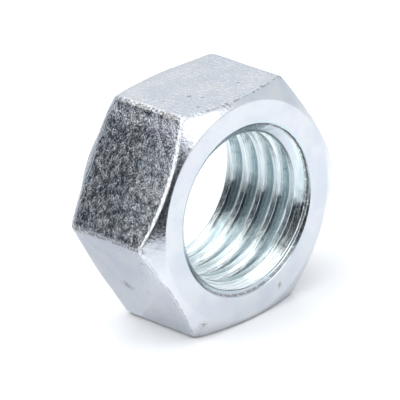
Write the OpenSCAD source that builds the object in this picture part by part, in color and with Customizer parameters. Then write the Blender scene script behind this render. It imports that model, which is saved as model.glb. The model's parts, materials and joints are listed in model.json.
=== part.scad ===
// Hexagon nut with a metric coarse thread, chamfered on both faces.
//
// The nut stands on one of its six flats. The thread's axis runs along Y, the two
// bearing faces point to -Y and +Y, two flats point straight up and down, and two
// corners point to -X and +X. The origin is the nut's centre, on the thread's axis.
// The bore is the hole that the tap is run through, so its wall lies at the thread's crests.

/* [Hexagon] */
// Width across two opposite flats, the size of the spanner
across_flats = 27; // [25:0.25:40]
// Height from one bearing face to the other
nut_height = 13.5; // [9:0.1:24]
// How far each corner is rounded back from the sharp hexagon
corner_rounding = 0.15; // [0.05:0.05:0.6]

/* [Bearing faces] */
// How far the edge of the front bearing face lies inside the flats
front_inset = 0.675; // [0.3:0.025:1.2]
// Angle between the front corner chamfer and the front bearing face
front_chamfer_angle = 30; // [15:1:40]
// How far the edge of the back bearing face lies inside the flats
back_inset = 0.4; // [0.3:0.025:1.2]
// Angle between the back corner chamfer, which is lighter, and the back bearing face
back_chamfer_angle = 12; // [10:1:40]

/* [Thread] */
// Nominal diameter of the screw that the nut fits
thread_d = 20; // [12:0.5:24]
// Pitch of the thread
pitch = 2.5; // [1:0.25:3]
// How much the bore is wider than the thread's basic minor diameter
bore_allowance = 0.3; // [0:0.05:0.45]
// How much the mouth of each countersink is wider than the screw
mouth_clearance = 0.4; // [0.2:0.1:1.6]
// Included angle of each countersink
countersink_angle = 100; // [90:1:120]

/* [Hidden] */
$fn = 120;

flats = 6;
// A metric thread's crests lie 5/8 of its sharp triangle's height inside the nominal diameter
crest_depth = 5 / 8 * pitch * cos(30);
bore_d = thread_d - 2 * crest_depth + bore_allowance;
mouth_d = thread_d + mouth_clearance;
countersink_depth = (mouth_d - bore_d) / 2 / tan(countersink_angle / 2);

sharp_corners = across_flats / cos(180 / flats);
across_corners = sharp_corners - 2 * corner_rounding;
front_bearing_d = across_flats - 2 * front_inset;
back_bearing_d = across_flats - 2 * back_inset;
front_drop = (across_corners - front_bearing_d) / 2 * tan(front_chamfer_angle);
back_drop = (across_corners - back_bearing_d) / 2 * tan(back_chamfer_angle);
// Room by which a cutting shape passes the surface that it cuts
overcut = 1;

// A bar of hexagon steel, with two of its corners along X
module hexagon_bar() {
    linear_extrude(nut_height, center = true)
        circle(d = sharp_corners, $fn = flats);
}

// The turned blank that rounds the corners back and cones them off to the round bearing faces.
// Its upper end becomes the front of the nut.
module turned_blank() {
    rotate_extrude()
        polygon([
            [0, -nut_height / 2],
            [back_bearing_d / 2, -nut_height / 2],
            [across_corners / 2, -nut_height / 2 + back_drop],
            [across_corners / 2, nut_height / 2 - front_drop],
            [front_bearing_d / 2, nut_height / 2],
            [0, nut_height / 2]
        ]);
}

// The hole that the tap is run through, with a countersink that opens to each face
module tapping_hole() {
    flare = overcut * tan(countersink_angle / 2);
    cylinder(h = nut_height + 2 * overcut, d = bore_d, center = true);
    for (face = [0, 180])
        rotate([face, 0, 0])
            translate([0, 0, nut_height / 2 - countersink_depth])
                cylinder(
                    h = countersink_depth + overcut,
                    d1 = bore_d,
                    d2 = mouth_d + 2 * flare
                );
}

module nut_body() {
    color("lightsteelblue")
        rotate([90, 0, 0])
            difference() {
                intersection() {
                    hexagon_bar();
                    turned_blank();
                }
                tapping_hole();
            }
}

nut_body();
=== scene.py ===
"""Looks of the hex nut: one forged, tapped and zinc-plated body.

The nut's surface is worked out in the half-plane through its axis: a path of straight runs and
arcs gives its outside, a tooth profile gives its thread, and both are carried round the axis.
Shapes are in millimetres and become metres when the mesh is made.
"""
import json

import bpy
import numpy as np
from mathutils import Matrix, Vector


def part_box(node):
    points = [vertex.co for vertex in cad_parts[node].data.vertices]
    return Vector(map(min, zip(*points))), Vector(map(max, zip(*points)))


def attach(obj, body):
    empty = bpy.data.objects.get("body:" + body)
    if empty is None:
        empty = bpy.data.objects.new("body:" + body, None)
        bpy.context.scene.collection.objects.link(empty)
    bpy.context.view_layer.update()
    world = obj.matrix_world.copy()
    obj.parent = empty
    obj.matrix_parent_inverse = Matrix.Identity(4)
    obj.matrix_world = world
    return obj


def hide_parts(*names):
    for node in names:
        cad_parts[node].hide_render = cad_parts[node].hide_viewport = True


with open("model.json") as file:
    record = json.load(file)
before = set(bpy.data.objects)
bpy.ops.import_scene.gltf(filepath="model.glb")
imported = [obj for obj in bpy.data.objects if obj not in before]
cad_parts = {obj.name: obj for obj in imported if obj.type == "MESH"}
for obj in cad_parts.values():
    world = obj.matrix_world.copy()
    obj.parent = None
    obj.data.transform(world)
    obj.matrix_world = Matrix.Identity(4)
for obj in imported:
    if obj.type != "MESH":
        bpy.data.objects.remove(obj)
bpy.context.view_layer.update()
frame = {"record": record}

MM = 0.001

# ---------------------------------------------------------------- sizes taken from the frame
nut_low, nut_high = (np.array(corner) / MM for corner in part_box("nut_body"))
thread_mount = next(m for m in frame["record"]["mounts"] if m["name"] == "thread")

FLAT = nut_high[2]                 # distance from the axis to a flat
HALF_HEIGHT = nut_high[1]          # distance from the middle to a bearing face
CORNER = nut_high[0]               # distance from the axis to a rounded corner
CREST_R = thread_mount["dims"]["r_mm"]
SIXTH = np.pi / 3
CORNER_ROUND = (FLAT / np.cos(SIXTH / 2) - CORNER) / (1 / np.cos(SIXTH / 2) - 1)

# ---------------------------------------------------------------- sizes of the edges and the thread
FRONT_RING_R = 12.825
FRONT_CHAMFER = np.radians(30)
BACK_RING_R = 13.1
BACK_CHAMFER = np.radians(12)
MOUTH_R = 10.2
COUNTERSINK_HALF_ANGLE = np.radians(50)
SINK_LEAD = 1.0                    # depth of the point that gives the countersink's direction
ROOT_R = 10.0
PITCH = 2.5
FLANK_ANGLE = np.radians(30)
THREAD_START = 0.68                # turns by which the first tooth is wound on
RUN_OUT_ROUND = 0.035              # where the thread runs out into a countersink
RUN_OUT_REACH = 0.5                # from the countersink's rim to where that rounding is full
RIM_GAP = 0.02                     # rows of the thread closer to the rim than this fall on it

RING_ROUND = 0.5                   # between a chamfer and its bearing ring
MOUTH_ROUND = 0.45                 # between a bearing ring and its countersink
LEAST_SHOULDER_ROUND = 0.35        # between a flat and the front chamfer, at its sharpest
EXTRA_SHOULDER_ROUND = 0.45        # added where the shoulder is softest
SOFTEST_SHOULDER = np.radians(150)  # where the die was worn, so that shoulder is the softest
SOFT_STRETCH = 4                   # power of the cosine: the higher, the shorter the soft stretch
BACK_SHOULDER_ROUND = 0.9
ROOM_USED = 0.95                   # share of a chamfer that a shoulder's rounding may take up
CREST_ROUND = 0.10
ROOT_ROUND = 0.16

# Columns of the mesh: how many in each rounded corner and each flat, and how far round the axis
# the columns of a corner reach to either side of it
CORNER_COLUMNS, FLAT_COLUMNS = 13, 44
CORNER_SPAN = np.radians(3.2)

# ---------------------------------------------------------------- wear of the shape
BACK_ROLL_REACH = 1.6              # how far from the back shoulders the flats start to roll over
BACK_ROLL_DEPTH = 0.27
BACK_ROLL_FADE = 0.3               # outside the back ring, which stays flat
# Each depth is how far the middle of the waves lies below the true surface
FORGING_DEPTH, FORGING_WAVE = 0.010, 5.0
TUMBLING_DEPTH, TUMBLING_WAVE = 0.007, 0.9
TUMBLING_REACH = 0.5               # how far from a shoulder the plating barrel knocked it
TUMBLING_SHARPNESS = 1.5
TOOLING_DEPTH, TOOLING_WAVE = 0.008, 1.6
RIM_FADE = 0.6                     # outside the countersink's mouth, whose edge stays round
DENT_COUNT = 60
DENT_WIDTHS = (0.25, 0.6)
DENT_DEPTHS = (0.004, 0.03)
# Knocks on the corners: angle round the axis in degrees, height along Y, width and depth
KNOCKS = [
    (120, 6.6, 1.6, 0.20),
    (0, -5.8, 1.1, 0.30),
    (180, -5.9, 0.55, 0.14),
    (240, -5.9, 0.8, 0.16),
]

# ---------------------------------------------------------------- finish of the plate
CLOUD_BLUE, CLOUD_GREY, CLOUD_VIOLET = (0.59, 0.635, 0.69), (0.665, 0.69, 0.72), (0.62, 0.62, 0.73)
RUBBED_METAL = (0.38, 0.37, 0.35)
GRIME = (0.17, 0.15, 0.14)
GRIME_STRENGTH = 0.75
TURNED_RING = (0.55, 0.68, 0.72)
BORE_DARK, BORE_PALE = (0.52, 0.63, 0.66), (0.86, 0.91, 0.92)
SATIN = (0.16, 0.27)               # roughness of the plate outside, in its smooth and dull places
POLISH = (0.07, 0.20)              # and in the bore
SCUFFED_DULLNESS = 0.12            # added to the roughness where a corner is scuffed
GRAIN_HEIGHT = 0.105
GRAIN_LEAST, GRAIN_SMUDGED = 0.70, 0.55  # share of that height everywhere, and more in smudges
GRAIN_ELSEWHERE = 0.12             # share of the grain that remains away from the flats
GROOVE_HEIGHT = 0.045
MOUTH_EDGE = 0.12                  # inside the mouth, where the bore's finish takes over
BORE_TO_FLATS = (11.0, 11.5)       # radii past the bore, from which a face may be a flat

# Each reach is two distances: the pattern is full up to the first, and gone at the second
SINK_REACH = (0.10, 0.22)          # from the countersink's cone
SCUFF_REACH = (0.3, 0.8)           # from a corner
SHOULDER_LINE_REACH = (0.05, 0.16)
CORNER_LINE_REACH = (0.12, 0.26)
SINK_LINE_R = 9.95                 # dark line where the thread runs out in the countersink
SINK_LINE_REACH = (0.07, 0.20)
SINK_LINE_DEPTHS = (0.7, 0.95)     # below the bearing face
SPECK_CELLS = 0.7                  # places for a speck along a millimetre; most are left empty
SPECK_REACH = (0.03, 0.075)
LARGEST_SPECK = 0.125
DEEP_BAND = 1.6                    # from a corner to the middle of a band of deeper grain
DEEP_BAND_REACH = (0.3, 1.0)
# Grime left in some places: angle round the axis in degrees, distance from the axis, height along
# Y, and width
GRIME_SPOTS = [
    (180, 15.3, -5.6, 0.9),
    (238, 14.0, -6.6, 1.6),
    (98, 13.5, -6.4, 1.2),
    (292, 11.6, -6.75, 1.0),
    (214, 13.6, 1.5, 1.9),
]


# ---------------------------------------------------------------- shape functions
def column_angles():
    """Angles round the axis: even steps over each rounded corner, then even steps over each flat."""
    corner = np.linspace(-CORNER_SPAN, CORNER_SPAN, CORNER_COLUMNS, endpoint=False)
    flat = np.linspace(CORNER_SPAN, SIXTH - CORNER_SPAN, FLAT_COLUMNS, endpoint=False)
    sector = np.concatenate([corner, flat]) + CORNER_SPAN
    return (np.arange(6)[:, None] * SIXTH + sector).ravel() - CORNER_SPAN


def side_radius(angle):
    """Distance from the axis to the side. On a flat it is FLAT over the cosine of the turn from
    the flat's middle; at a corner it is the far side of a circle of CORNER_ROUND."""
    turn = (angle + SIXTH / 2) % SIXTH - SIXTH / 2
    centre = (FLAT - CORNER_ROUND) / np.cos(SIXTH / 2)
    side = FLAT / np.cos(SIXTH / 2 - np.abs(turn))
    inside = np.maximum(CORNER_ROUND**2 - (centre * np.sin(turn)) ** 2, 0)
    arc = centre * np.cos(turn) + np.sqrt(inside)
    tangent = np.arctan2(CORNER_ROUND * np.sin(SIXTH / 2), centre + CORNER_ROUND * np.cos(SIXTH / 2))
    return np.where(np.abs(turn) < tangent, arc, side)


def rounded_path(corners, radii, arc_steps, run_steps):
    """Points along straight runs joined by arcs. Each arc starts at a tangent length, radius times
    the tangent of half the turn, before its corner, and swings through the turn.
    corners is (paths, corners, 2); the first and last corners only give directions."""
    pieces = []
    before = None
    for k, radius in enumerate(radii, start=1):
        corner = corners[:, k]
        arrive = corner - corners[:, k - 1]
        leave = corners[:, k + 1] - corner
        arrive /= np.linalg.norm(arrive, axis=1, keepdims=True)
        leave /= np.linalg.norm(leave, axis=1, keepdims=True)
        cross = arrive[:, 0] * leave[:, 1] - arrive[:, 1] * leave[:, 0]
        turn = np.arctan2(cross, (arrive * leave).sum(axis=1))
        radius = np.broadcast_to(radius, turn.shape)
        tangent = radius * np.tan(np.abs(turn) / 2)
        inward = np.sign(turn)[:, None] * np.stack([-arrive[:, 1], arrive[:, 0]], axis=1)
        swing = np.linspace(0, 1, arc_steps + 1)[None, :, None] * np.abs(turn)[:, None, None]
        start = corner - arrive * tangent[:, None]
        reach = radius[:, None, None]
        arc = (start[:, None] + reach * np.sin(swing) * arrive[:, None]
               + reach * (1 - np.cos(swing)) * inward[:, None])
        if before is not None:
            share = np.linspace(0, 1, run_steps[k - 2] + 1)[1:-1][None, :, None]
            pieces.append(before[:, None] * (1 - share) + arc[:, :1] * share)
        pieces.append(arc)
        before = arc[:, -1]
    return np.concatenate(pieces, axis=1)


def shoulder_round(side, ring_r, chamfer, wanted):
    """The wanted rounding of a shoulder, or what the chamfer has room for: its length, less the
    tangent length of the ring's rounding, over the tangent of half the shoulder's turn."""
    room = (side - ring_r) / np.cos(chamfer) - RING_ROUND * np.tan(chamfer / 2)
    return np.minimum(wanted, ROOM_USED * room / np.tan((np.pi / 2 - chamfer) / 2))


def outside_path(angle):
    """The outside in the half-plane, as (radius, y) from the front countersink to the back one:
    mouth, bearing ring, chamfer cone, flat, and the same again at the back. The front shoulder's
    rounding grows with a power of the cosine of the angle from where the die was worn."""
    side = side_radius(angle)
    sink_r = MOUTH_R - SINK_LEAD * np.tan(COUNTERSINK_HALF_ANGLE)
    front_drop = (side - FRONT_RING_R) * np.tan(FRONT_CHAMFER)
    back_drop = (side - BACK_RING_R) * np.tan(BACK_CHAMFER)
    turning_points = [
        (sink_r, SINK_LEAD - HALF_HEIGHT),
        (MOUTH_R, -HALF_HEIGHT),
        (FRONT_RING_R, -HALF_HEIGHT),
        (side, front_drop - HALF_HEIGHT),
        (side, HALF_HEIGHT - back_drop),
        (BACK_RING_R, HALF_HEIGHT),
        (MOUTH_R, HALF_HEIGHT),
        (sink_r, HALF_HEIGHT - SINK_LEAD),
    ]
    corners = np.stack([np.stack(np.broadcast_arrays(r, y, angle)[:2], axis=1)
                        for r, y in turning_points], axis=1).astype(float)
    softness = ((1 + np.cos(angle - SOFTEST_SHOULDER)) / 2) ** SOFT_STRETCH
    front_shoulder = shoulder_round(side, FRONT_RING_R, FRONT_CHAMFER,
                                    LEAST_SHOULDER_ROUND + EXTRA_SHOULDER_ROUND * softness)
    back_shoulder = shoulder_round(side, BACK_RING_R, BACK_CHAMFER, BACK_SHOULDER_ROUND)
    radii = [MOUTH_ROUND, RING_ROUND, front_shoulder, back_shoulder, RING_ROUND, MOUTH_ROUND]
    return rounded_path(corners, radii, arc_steps=7, run_steps=[9, 5, 36, 5, 9])


def tooth_profile():
    """One pitch of the thread as (height along the axis, radius): flat crest, flank, flat root,
    flank, with each corner an arc. The root is an eighth of the pitch wide, each flank takes up
    its rise times the tangent of its angle, and the crest is what they leave."""
    root = PITCH / 8
    rise = ROOT_R - CREST_R
    crest = PITCH - root - 2 * rise * np.tan(FLANK_ANGLE)
    flank = rise * np.tan(FLANK_ANGLE)
    steps = np.array([0, crest, flank, root, flank, crest])
    heights = np.cumsum(steps) - crest / 2
    radii = np.array([CREST_R, CREST_R, ROOT_R, ROOT_R, CREST_R, CREST_R])
    corners = np.stack([heights, radii], axis=1)[None]
    path = rounded_path(corners, [CREST_ROUND, ROOT_ROUND, ROOT_ROUND, CREST_ROUND],
                        arc_steps=4, run_steps=[6, 2, 6])[0]
    last_crest = np.linspace(path[-1, 0], path[0, 0] + PITCH, 5)[1:-1]
    flat_crest = np.stack([last_crest, np.full_like(last_crest, CREST_R)], axis=1)
    return np.concatenate([path, flat_crest])


def smooth_max(a, b, width):
    """The larger of two values, rounded where they cross: half their sum, plus half the root of
    their squared difference and the squared width."""
    return (a + b + np.sqrt((a - b) ** 2 + width**2)) / 2


def ripple(points, wavelength, seed, waves=28):
    """Smooth uneven relief of about -1 to 1: a sum of plane sine waves in random directions, with
    wavelengths on both sides of the given one, over the root of how many there are."""
    shortest, longest = 0.6, 1.7
    draw = np.random.default_rng(seed)
    heading = draw.normal(size=(waves, 3))
    heading /= np.linalg.norm(heading, axis=1, keepdims=True)
    number = 2 * np.pi / (wavelength * draw.uniform(shortest, longest, waves))
    phase = draw.uniform(0, 2 * np.pi, waves)
    field = np.sin(points @ (heading * number[:, None]).T + phase)
    return field.sum(axis=1) / np.sqrt(waves)


def vertex_normals(points, triangles):
    """Area-weighted normals: the cross product of each triangle's edges, summed at its corners."""
    a, b, c = (points[triangles[:, k]] for k in range(3))
    face = np.cross(b - a, c - a)
    normals = np.stack([sum(np.bincount(triangles[:, k], face[:, axis], len(points)) for k in range(3))
                        for axis in range(3)], axis=1)
    return normals / np.linalg.norm(normals, axis=1, keepdims=True)


# ---------------------------------------------------------------- the nut's mesh
def around(radius, y, angle):
    """Points at a radius, a height along Y and an angle from +X towards +Z."""
    return np.stack(np.broadcast_arrays(radius * np.cos(angle), y, radius * np.sin(angle)), axis=-1)


def nut_surface():
    """Vertices and faces of the whole nut. The outside is a grid of columns and path rows. The
    thread is a ribbon of tooth rows wound on a right-hand helix, whose height falls by one pitch
    in a turn: its seam joins each row to the row one pitch further on, and rows past a
    countersink's rim fall on that rim. Its radius is the larger of the tooth's and the cone's."""
    angle = column_angles()
    columns = len(angle)
    path = outside_path(angle)
    rows = path.shape[1]
    outside = around(path[..., 0], path[..., 1], angle[:, None]).reshape(-1, 3)
    grid = np.arange(columns * rows).reshape(columns, rows)

    tooth = tooth_profile()
    per_pitch = len(tooth)
    spare_turns = 3
    turns = int(np.ceil(2 * HALF_HEIGHT / PITCH)) + spare_turns
    height = (np.arange(turns)[:, None] * PITCH + tooth[:, 0]).ravel()
    radius = np.tile(tooth[:, 1], turns)
    start = -HALF_HEIGHT - (2 - THREAD_START) * PITCH
    y = start + PITCH + height[:, None] - PITCH * angle[None, :] / (2 * np.pi)
    rim_r, rim_y = path[0, -1]
    below_rim = rim_y - np.abs(y)
    cone = rim_r - below_rim * np.tan(COUNTERSINK_HALF_ANGLE)
    blend = RUN_OUT_ROUND * np.clip(below_rim / RUN_OUT_REACH, 0, 1)
    ribbon_r = smooth_max(radius[:, None], cone, blend)
    inside = np.abs(y) < rim_y - RIM_GAP
    own = np.cumsum(inside.ravel()).reshape(y.shape) - 1 + len(outside)
    index = np.where(inside, own, np.where(y < 0, grid[:, 0], grid[:, -1]))
    one_turn_on = np.concatenate([np.full(per_pitch, grid[0, 0]), index[:-per_pitch, 0]])
    index = np.column_stack([index, one_turn_on])
    thread = around(ribbon_r, y, angle[None, :])[inside]

    ring = np.vstack([grid, grid[:1]])
    quads = np.concatenate([
        np.stack([ring[:-1, :-1], ring[:-1, 1:], ring[1:, 1:], ring[1:, :-1]], -1).reshape(-1, 4),
        np.stack([index[:-1, :-1], index[:-1, 1:], index[1:, 1:], index[1:, :-1]], -1).reshape(-1, 4),
    ])
    points = np.concatenate([outside, thread])
    # A quad with two neighbouring corners at one point is a triangle, and with more it is nothing
    same = quads == np.roll(quads, -1, axis=1)
    whole = quads[~same.any(axis=1)]
    once = same.sum(axis=1) == 1
    kept_corners = np.argsort(same[once], axis=1, kind="stable")[:, :3]
    triangles = np.take_along_axis(quads[once], np.sort(kept_corners, axis=1), axis=1)
    return points, whole, triangles, len(outside)


def edge_gaps(points):
    """Distances from the nearest shoulder, below zero on its chamfer's side, and from the nearest
    corner between two flats; and how near the back shoulder is, from 0 at the reach to 1 on it."""
    x, y, z = points.T
    radius = np.hypot(x, z)
    angle = np.arctan2(z, x)
    side = side_radius(angle)
    front = HALF_HEIGHT - (side - FRONT_RING_R) * np.tan(FRONT_CHAMFER)
    back = HALF_HEIGHT - (side - BACK_RING_R) * np.tan(BACK_CHAMFER)
    past = np.abs(y) - np.where(y < 0, front, back)
    shoulder = np.hypot(radius - side, past) * np.where(past > 0, -1, 1)
    roll = np.clip(1 - (back - y) / BACK_ROLL_REACH, 0, 1)
    turn = np.abs((angle + SIXTH / 2) % SIXTH - SIXTH / 2)
    along = FLAT * (np.tan(SIXTH / 2) - np.tan(SIXTH / 2 - turn))
    return shoulder, np.hypot(along, radius - side), roll


def dent(points, spot, width, depth):
    """How far a round dent presses each point in: the depth times a bell curve of the distance
    from the spot over the width."""
    return depth * np.exp(-(((points - spot) ** 2).sum(axis=1) / width**2))


def weathered(points, normals, shoulder_gap, back_roll, outside_count):
    """The surface pressed inwards a little. Outside there are long waves of the forging, short
    ones where the shoulders were knocked in the plating barrel, some small dents and the knocks on
    the corners, and the flats roll over towards the back by a parabola, as the die left them. In
    the bore there are only the tap's own short waves."""
    outer = np.arange(len(points)) < outside_count
    near_shoulder = np.exp(-((shoulder_gap / TUMBLING_REACH) ** 2))
    forging = FORGING_DEPTH * (1 + np.tanh(ripple(points, FORGING_WAVE, seed=3)))
    unevenness = 1 + np.tanh(TUMBLING_SHARPNESS * ripple(points, TUMBLING_WAVE, seed=7))
    tumbling = TUMBLING_DEPTH * near_shoulder * unevenness
    draw = np.random.default_rng(11)
    dents = np.zeros(len(points))
    for spot in points[draw.integers(0, outside_count, DENT_COUNT)]:
        dents += dent(points, spot, width=draw.uniform(*DENT_WIDTHS), depth=draw.uniform(*DENT_DEPTHS))
    for turn, y, width, depth in KNOCKS:
        dents += dent(points, around(CORNER, y, np.radians(turn)), width, depth)
    radius = np.hypot(points[:, 0], points[:, 2])
    off_mouth = np.clip((radius - MOUTH_R) / RIM_FADE, 0, 1)
    tooling = TOOLING_DEPTH * (1 + ripple(points, TOOLING_WAVE, seed=5))
    depth = np.where(outer, (forging + tumbling + dents) * off_mouth, tooling)
    off_ring = np.clip((radius - BACK_RING_R) / BACK_ROLL_FADE, 0, 1)
    rolled = BACK_ROLL_DEPTH * back_roll**2 * off_ring
    inward = points * [1, 0, 1] / radius[:, None] * np.where(outer, rolled, 0)[:, None]
    return points - normals * depth[:, None] - inward


def make_nut():
    """The nut's object. Its two gap attributes tell the plate where the edges are."""
    points, quads, triangles, outside_count = nut_surface()
    halves = np.concatenate([quads[:, [0, 1, 2]], quads[:, [0, 2, 3]], triangles])
    normals = vertex_normals(points, halves)
    shoulder_gap, corner_gap, back_roll = edge_gaps(points)
    points = weathered(points, normals, shoulder_gap, back_roll, outside_count)
    mesh = bpy.data.meshes.new("hex_nut")
    mesh.from_pydata((points * MM).tolist(), [], quads.tolist() + triangles.tolist())
    for name, gap in (("shoulder_gap", shoulder_gap), ("corner_gap", corner_gap)):
        mesh.attributes.new(name, "FLOAT", "POINT").data.foreach_set("value", gap.astype(np.float32))
    mesh.shade_smooth()
    mesh.validate()
    nut = bpy.data.objects.new("hex_nut", mesh)
    bpy.context.scene.collection.objects.link(nut)
    return nut


# ---------------------------------------------------------------- finish
def add(tree, kind, inputs=None, **settings):
    """A node with its settings, and with each input filled by a value or by another's output."""
    node = tree.nodes.new(kind)
    for name, value in settings.items():
        setattr(node, name, value)
    for name, value in (inputs or {}).items():
        if isinstance(value, bpy.types.NodeSocket):
            tree.links.new(value, node.inputs[name])
        else:
            node.inputs[name].default_value = value
    return node


def math(tree, operation, *values):
    """One sum on numbers or outputs."""
    return add(tree, "ShaderNodeMath", dict(enumerate(values)), operation=operation).outputs[0]


def ramp(tree, value, low, high, to_low=0.0, to_high=1.0):
    """A value carried smoothly from low..high to another range, and held at its ends. On a noise,
    low and high say how much of the surface a pattern takes and how sharp its edge is."""
    node = add(tree, "ShaderNodeMapRange", interpolation_type="SMOOTHSTEP", inputs={
        "Value": value, "From Min": low, "From Max": high, "To Min": to_low, "To Max": to_high})
    return node.outputs["Result"]


def fade(tree, gap, reach, full=1.0):
    """A pattern that is full up to the reach's first distance, and gone at its second."""
    near, far = reach
    return ramp(tree, gap, far, near, 0.0, full)


def off(tree, value, middle):
    """How far a value is from the middle, either way."""
    return math(tree, "ABSOLUTE", math(tree, "SUBTRACT", value, middle))


def noise(tree, vector, lumps, detail=2.0, roughness=0.5):
    """Smooth noise of about 0 to 1, with the given number of lumps in a millimetre."""
    node = add(tree, "ShaderNodeTexNoise", {"Vector": vector, "Scale": lumps, "Detail": detail,
                                            "Roughness": roughness})
    return node.outputs["Fac"]


def mixed(tree, share, first, second):
    """One colour passing into another. The node's colour inputs are its numbers 6 and 7, and its
    colour output is number 2."""
    node = add(tree, "ShaderNodeMix", data_type="RGBA")
    for socket, value in ((node.inputs[0], share), (node.inputs[6], first), (node.inputs[7], second)):
        if isinstance(value, bpy.types.NodeSocket):
            tree.links.new(value, socket)
        elif isinstance(value, tuple):
            socket.default_value = (*value, 1)
        else:
            socket.default_value = value
    return node.outputs[2]


class Places:
    """What the patterns read: the point in millimetres, its distance from the axis, its distances
    from the edges, and three sizes of noise that several patterns share."""

    def __init__(self, tree):
        place = add(tree, "ShaderNodeTexCoord").outputs["Object"]
        scaled = add(tree, "ShaderNodeVectorMath", {0: place, "Scale": 1 / MM}, operation="SCALE")
        self.point = scaled.outputs[0]
        self.x, self.y, self.z = add(tree, "ShaderNodeSeparateXYZ", {0: self.point}).outputs
        flat_point = add(tree, "ShaderNodeCombineXYZ", {0: self.x, 1: 0.0, 2: self.z}).outputs[0]
        length = add(tree, "ShaderNodeVectorMath", {0: flat_point}, operation="LENGTH")
        self.radius = length.outputs["Value"]
        shoulders = add(tree, "ShaderNodeAttribute", attribute_name="shoulder_gap")
        self.shoulder_gap = shoulders.outputs["Fac"]
        corners = add(tree, "ShaderNodeAttribute", attribute_name="corner_gap")
        self.corner_gap = corners.outputs["Fac"]
        self.cloud = noise(tree, self.point, lumps=0.35, detail=3.0)
        self.smudge = noise(tree, self.point, lumps=1.4, detail=3.0)
        self.crumb = noise(tree, self.point, lumps=3.1, detail=3.0)


def tap_marks(tree, at):
    """Fine lines cut along the thread. Across the thread the pattern turns once in each pitch, so
    it meets itself where the helix closes; along the thread it turns once round the axis."""
    turn = math(tree, "ARCTAN2", at.z, at.x)
    wound = math(tree, "MULTIPLY_ADD", at.y, 2 * np.pi / PITCH, turn)
    across = 2.4
    vector = add(tree, "ShaderNodeCombineXYZ", {
        0: math(tree, "MULTIPLY", math(tree, "COSINE", wound), across),
        1: math(tree, "MULTIPLY", math(tree, "SINE", wound), across),
        2: math(tree, "COSINE", turn)}).outputs[0]
    node = add(tree, "ShaderNodeTexNoise", {"Vector": vector, "W": math(tree, "SINE", turn),
                                            "Scale": 1.6, "Detail": 5.0, "Roughness": 0.65},
               noise_dimensions="4D")
    return node.outputs["Fac"]


def turned_marks(tree, at):
    """Fine rings left by turning the countersink: noise that changes fast with the radius and
    only slowly round the axis."""
    across, along = 5.0, 0.12
    vector = add(tree, "ShaderNodeCombineXYZ", {
        0: math(tree, "MULTIPLY", at.radius, across), 1: math(tree, "MULTIPLY", at.x, along),
        2: math(tree, "MULTIPLY", at.z, along)}).outputs[0]
    return noise(tree, vector, lumps=1.0, detail=3.0)


def clouds(tree, at):
    """Colour of the passivate: blue passing into grey, with a tinge of violet in wide patches."""
    colour = mixed(tree, ramp(tree, at.cloud, 0.35, 0.65), CLOUD_BLUE, CLOUD_GREY)
    tinge = ramp(tree, noise(tree, at.point, lumps=0.22), 0.52, 0.75, to_high=0.6)
    return mixed(tree, tinge, colour, CLOUD_VIOLET)


def rust_specks(tree, at):
    """A speck in some cells of a random lattice: the cell's own colour gives its size, and smudged
    noise makes its outline ragged."""
    raggedness, spread, strength = 0.18, 0.5, 0.7
    cells = add(tree, "ShaderNodeTexVoronoi", {"Vector": at.point, "Scale": SPECK_CELLS})
    size = math(tree, "MULTIPLY", ramp(tree, cells.outputs["Color"], 0.5, 0.9), LARGEST_SPECK)
    from_middle = math(tree, "MULTIPLY", cells.outputs["Distance"], spread)
    ragged = math(tree, "MULTIPLY_ADD", at.smudge, raggedness, from_middle)
    specks = fade(tree, math(tree, "SUBTRACT", ragged, size), SPECK_REACH)
    return math(tree, "MULTIPLY", specks, strength)


def grime_spots(tree, at):
    """Ragged grime round each of the grime spots: it fades with the distance from the spot, and fine
    and coarse noise break it up."""
    fine_share, coarse_share = 1.2, 0.6
    total = 0.0
    for turn, reach, y, width in GRIME_SPOTS:
        spot = tuple(around(reach, y, np.radians(turn)))
        gap = add(tree, "ShaderNodeVectorMath", {0: at.point, 1: spot}, operation="DISTANCE")
        near = fade(tree, gap.outputs["Value"], (0.0, width), full=0.5)
        total = math(tree, "MAXIMUM", total, near)
    fine = noise(tree, at.point, lumps=4.6, detail=1.0)
    coarse = math(tree, "MULTIPLY", at.crumb, coarse_share)
    broken = math(tree, "MULTIPLY_ADD", fine, fine_share, coarse)
    left = ramp(tree, math(tree, "ADD", total, broken), 1.24, 1.40, to_high=0.8)
    return math(tree, "MULTIPLY", ramp(tree, total, 0.0, 0.15), left)


def edge_grime(tree, at):
    """Broken lines of grime along the shoulders and the corners."""
    shoulder_line = fade(tree, math(tree, "ABSOLUTE", at.shoulder_gap), SHOULDER_LINE_REACH)
    corner_line = fade(tree, at.corner_gap, CORNER_LINE_REACH)
    return math(tree, "MAXIMUM",
                math(tree, "MULTIPLY", shoulder_line, ramp(tree, at.crumb, 0.46, 0.58)),
                math(tree, "MULTIPLY", corner_line, ramp(tree, at.crumb, 0.40, 0.55)))


def run_out_dark_line(tree, at):
    """A broken dark line round each countersink, where the thread runs out."""
    full_depth, last_depth = SINK_LINE_DEPTHS
    height = math(tree, "ABSOLUTE", at.y)
    in_mouth = ramp(tree, height, HALF_HEIGHT - last_depth, HALF_HEIGHT - full_depth)
    broken = ramp(tree, at.crumb, 0.34, 0.50, to_high=0.65)
    line = fade(tree, off(tree, at.radius, SINK_LINE_R), SINK_LINE_REACH)
    return math(tree, "MULTIPLY", line, math(tree, "MULTIPLY", in_mouth, broken))


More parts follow.
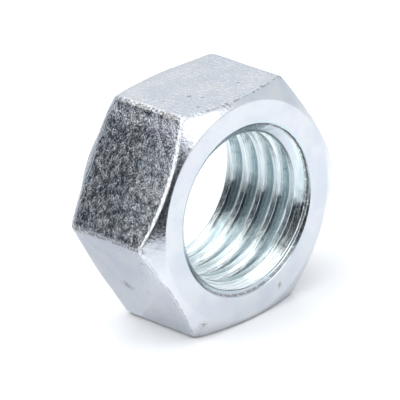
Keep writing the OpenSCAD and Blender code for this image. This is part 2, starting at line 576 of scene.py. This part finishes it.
def grain_depth(tree, at):
    """How deep the crystal grain is: uneven in smudges, deeper towards the front face and in a
    band beside the corners, both the more so the higher up the nut, and faint elsewhere than on
    the flats."""
    on_flat = math(tree, "MULTIPLY", ramp(tree, at.shoulder_gap, 0.0, 0.35),
                   ramp(tree, at.radius, *BORE_TO_FLATS))
    smudged = ramp(tree, at.smudge, 0.36, 0.64)
    depth = math(tree, "MULTIPLY_ADD", smudged, GRAIN_SMUDGED, GRAIN_LEAST)
    more_at_front = ramp(tree, at.z, -2.0, 6.0, to_low=0.1, to_high=0.4)
    depth = math(tree, "ADD", depth, ramp(tree, at.y, 1.0, -5.0, to_high=more_at_front))
    more_in_band = ramp(tree, at.z, 6.0, 9.0, to_high=0.4)
    off_band = off(tree, at.corner_gap, DEEP_BAND)
    depth = math(tree, "ADD", depth, fade(tree, off_band, DEEP_BAND_REACH, full=more_in_band))
    return math(tree, "MULTIPLY", depth, ramp(tree, on_flat, 0, 1, to_low=GRAIN_ELSEWHERE))


def on_countersink(tree, at):
    """1 on the countersinks' cones, whose radius is the mouth's less the depth times the tangent of
    half their angle, and 0 where the surface lies further from the axis than that."""
    slope = np.tan(COUNTERSINK_HALF_ANGLE)
    height = math(tree, "ABSOLUTE", at.y)
    cone_r = math(tree, "MULTIPLY_ADD", height, slope, MOUTH_R - HALF_HEIGHT * slope)
    return fade(tree, math(tree, "SUBTRACT", at.radius, cone_r), SINK_REACH)


def zinc_plate():
    """Bright zinc plate with a clear blue passivate over forged steel. Outside it is a fine
    crystal grain with clouds, a few rust-brown specks, and scuffs and grime along the edges. The
    countersinks have turned rings, and the bore is smooth and greenish, with the tap's marks."""
    material = bpy.data.materials.new("zinc_plate")
    material.use_nodes = True
    tree = material.node_tree
    shader = tree.nodes["Principled BSDF"]
    at = Places(tree)
    marks = tap_marks(tree, at)
    on_sink = on_countersink(tree, at)
    outside = math(tree, "MAXIMUM", on_sink, ramp(tree, at.radius, MOUTH_R - MOUTH_EDGE, MOUTH_R))

    least_rubbed, more_rubbed = 0.1, 0.5
    in_clouds = ramp(tree, at.cloud, 0.42, 0.58)
    rubbed = math(tree, "MULTIPLY_ADD", in_clouds, more_rubbed, least_rubbed)
    scuffed = math(tree, "MULTIPLY", fade(tree, at.corner_gap, SCUFF_REACH),
                   ramp(tree, at.crumb, 0.36, 0.56))
    colour = mixed(tree, math(tree, "MULTIPLY", scuffed, rubbed), clouds(tree, at), RUBBED_METAL)
    grime = math(tree, "MAXIMUM", edge_grime(tree, at), rust_specks(tree, at))
    grime = math(tree, "MAXIMUM", grime, grime_spots(tree, at))
    colour = mixed(tree, math(tree, "MULTIPLY", grime, GRIME_STRENGTH), colour, GRIME)
    rings = ramp(tree, turned_marks(tree, at), 0.42, 0.6, to_high=0.8)
    colour = mixed(tree, math(tree, "MULTIPLY", on_sink, rings), colour, TURNED_RING)
    bore_colour = mixed(tree, ramp(tree, marks, 0.38, 0.60), BORE_DARK, BORE_PALE)
    colour = mixed(tree, outside, bore_colour, colour)
    # a broken dark line in the crease where the thread runs out into each countersink
    colour = mixed(tree, run_out_dark_line(tree, at), colour, GRIME)
    tree.links.new(colour, shader.inputs["Base Color"])
    shader.inputs["Metallic"].default_value = 1.0

    satin = ramp(tree, noise(tree, at.point, lumps=2.9), 0.3, 0.7, *SATIN)
    satin = math(tree, "MULTIPLY_ADD", scuffed, SCUFFED_DULLNESS, satin)
    polish = ramp(tree, marks, 0.35, 0.65, *POLISH)
    rough = add(tree, "ShaderNodeMix", {0: outside, 2: polish, 3: satin}).outputs[0]
    tree.links.new(rough, shader.inputs["Roughness"])

    grain = add(tree, "ShaderNodeBump", {
        "Strength": math(tree, "MULTIPLY", outside, grain_depth(tree, at)),
        "Distance": GRAIN_HEIGHT * MM,
        "Height": noise(tree, at.point, lumps=3.4, roughness=0.6)})
    grooves = add(tree, "ShaderNodeBump", {
        "Strength": math(tree, "SUBTRACT", 1.0, outside),
        "Distance": GROOVE_HEIGHT * MM,
        "Height": marks,
        "Normal": grain.outputs[0]})
    tree.links.new(grooves.outputs[0], shader.inputs["Normal"])
    return material


# ---------------------------------------------------------------- studio
FLOOR_WHITE = (0.88, 0.88, 0.89)
FLOOR_HALF_WIDTH = 1.5
CARD_LIFT = 0.0005                 # of a card that lies on the floor
CARD_BLACK = (0.015, 0.02, 0.03)
# painted shade: the grey of the floor in the nut's shadow, as the plate mirrors it
FLOOR_SHADE_GREY = (0.80, 0.83, 0.88)
WORLD_WHITE = (0.95, 0.975, 1.0)


def make_floor():
    """A wide sheet at the height of the bottom flat, a little glossy."""
    mesh = bpy.data.meshes.new("floor")
    size = FLOOR_HALF_WIDTH
    z = nut_low[2] * MM
    mesh.from_pydata([(-size, -size, z), (size, -size, z), (size, size, z), (-size, size, z)],
                     [], [(0, 1, 2, 3)])
    floor = bpy.data.objects.new("floor", mesh)
    bpy.context.scene.collection.objects.link(floor)
    paint = bpy.data.materials.new("studio_white")
    paint.use_nodes = True
    shader = paint.node_tree.nodes["Principled BSDF"]
    shader.inputs["Base Color"].default_value = (*FLOOR_WHITE, 1)
    shader.inputs["Roughness"].default_value = 0.15
    shader.inputs["Specular IOR Level"].default_value = 0.6
    mesh.materials.append(paint)


def direction(azimuth, elevation):
    """Unit vector for a compass angle from +Y towards +X and an angle above the floor."""
    a, e = np.radians([azimuth, elevation])
    return Vector((np.sin(a) * np.cos(e), np.cos(a) * np.cos(e), np.sin(e)))


def softbox(name, azimuth, elevation, distance, width, height, power):
    """A soft lamp that faces the nut and isn't seen itself. Its distance and sizes are in metres."""
    light = bpy.data.lights.new(name, "AREA")
    light.shape = "RECTANGLE"
    light.size = width
    light.size_y = height
    light.energy = power
    towards = direction(azimuth, elevation)
    obj = bpy.data.objects.new(name, light)
    obj.location = towards * distance
    obj.rotation_euler = towards.to_track_quat("Z", "Y").to_euler()
    bpy.context.scene.collection.objects.link(obj)
    obj.visible_camera = False
    return obj


def card(name, centre, across, up, shade):
    """A plain card that only shows as a reflection, given by its middle and its two widths."""
    mesh = bpy.data.meshes.new(name)
    halves = ((-0.5, -0.5), (0.5, -0.5), (0.5, 0.5), (-0.5, 0.5))
    corners = [centre + across * a + up * b for a, b in halves]
    mesh.from_pydata(corners, [], [(0, 1, 2, 3)])
    obj = bpy.data.objects.new(name, mesh)
    bpy.context.scene.collection.objects.link(obj)
    obj.visible_camera = False
    obj.visible_shadow = False
    obj.visible_diffuse = False
    paint = bpy.data.materials.new(name)
    paint.use_nodes = True
    nodes = paint.node_tree.nodes
    nodes.remove(nodes["Principled BSDF"])
    glow = nodes.new("ShaderNodeEmission")
    glow.inputs["Color"].default_value = (*shade, 1)
    paint.node_tree.links.new(glow.outputs[0], nodes["Material Output"].inputs["Surface"])
    mesh.materials.append(paint)


def facing(azimuth, elevation, distance, width, height):
    """The middle and the two widths, in metres, of a card that squarely faces the nut."""
    towards = direction(azimuth, elevation)
    across = towards.cross(Vector((0, 0, 1))).normalized()
    return towards * distance, across * width, across.cross(towards) * height


def on_floor(x, y, width, depth):
    """The middle and the two widths, in metres, of a card that lies on the floor."""
    return Vector((x, y, nut_low[2] * MM + CARD_LIFT)), Vector((width, 0, 0)), Vector((0, depth, 0))


def make_studio():
    """Floor, lamps, an even pale world, and the cards that the bright plate mirrors; one grey card on
    the floor is a painted shade of the floor in the nut's shadow.
    """
    world = bpy.data.worlds.new("studio")
    bpy.context.scene.world = world
    world.use_nodes = True
    backdrop = world.node_tree.nodes["Background"]
    backdrop.inputs["Color"].default_value = (*WORLD_WHITE, 1)
    backdrop.inputs["Strength"].default_value = 0.96
    make_floor()
    softbox("top_light", azimuth=250, elevation=78, distance=0.8, width=1.2, height=0.9, power=5.2)
    fill = softbox("fill_light", azimuth=-60, elevation=38, distance=0.8, width=0.7, height=0.7,
                   power=2.2)
    fill.visible_glossy = False
    cards = [
        ("dark_card_back_left", facing(-55, 12, distance=0.5, width=0.52, height=0.36), CARD_BLACK),
        ("dark_card_above_left", facing(-46, 36, distance=0.5, width=0.66, height=0.175), CARD_BLACK),
        ("dark_card_front", facing(202, 9, distance=0.16, width=0.142, height=0.098), CARD_BLACK),
        ("dark_card_on_floor", on_floor(-0.049, -0.095, width=0.122, depth=0.10), CARD_BLACK),
        # painted shade: a grey sheet seen only in reflections, where the floor behind and left of the
        # nut lies in its shadow
        ("painted_floor_shade_card", on_floor(-0.024, 0.0215, width=0.0322, depth=0.037), FLOOR_SHADE_GREY),
        ("white_card_front", facing(168, 24, distance=0.6, width=0.34, height=0.22), (2.2,) * 3),
        ("white_card_top", facing(3, 60, distance=0.6, width=0.6, height=0.36), (2.0,) * 3),
        ("white_card_left", facing(-113, 26, distance=0.6, width=0.62, height=0.40), (1.8,) * 3),
    ]
    for name, (centre, across, up), shade in cards:
        card(name, centre, across, up, shade)
    view = bpy.context.scene.view_settings
    view.view_transform = "Standard"


def make_camera():
    """A long lens from the front left and above, turned a little about its own axis and slid a
    little to the left and down."""
    azimuth, elevation, roll = np.radians([-43.32, 23.97, -3.44])
    distance = 0.641
    slid_left, slid_down = 0.59 * MM, 0.54 * MM
    back = Vector((np.sin(azimuth) * np.cos(elevation), -np.cos(azimuth) * np.cos(elevation),
                   np.sin(elevation)))
    right = Vector((np.cos(azimuth), np.sin(azimuth), 0))
    up = back.cross(right)
    turned_right = right * np.cos(roll) + up * np.sin(roll)
    turned_up = up * np.cos(roll) - right * np.sin(roll)
    data = bpy.data.cameras.new("camera")
    data.lens = 512.2
    data.sensor_width = 36
    data.clip_start = 0.01
    data.clip_end = 10
    camera = bpy.data.objects.new("camera", data)
    place = back * distance - turned_right * slid_left - turned_up * slid_down
    axes = Matrix((turned_right, turned_up, back)).transposed().to_4x4()
    camera.matrix_world = Matrix.Translation(place) @ axes
    bpy.context.scene.collection.objects.link(camera)
    bpy.context.scene.camera = camera


make_camera()
make_studio()
nut = make_nut()
nut.data.materials.append(zinc_plate())
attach(nut, "root")
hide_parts("nut_body")
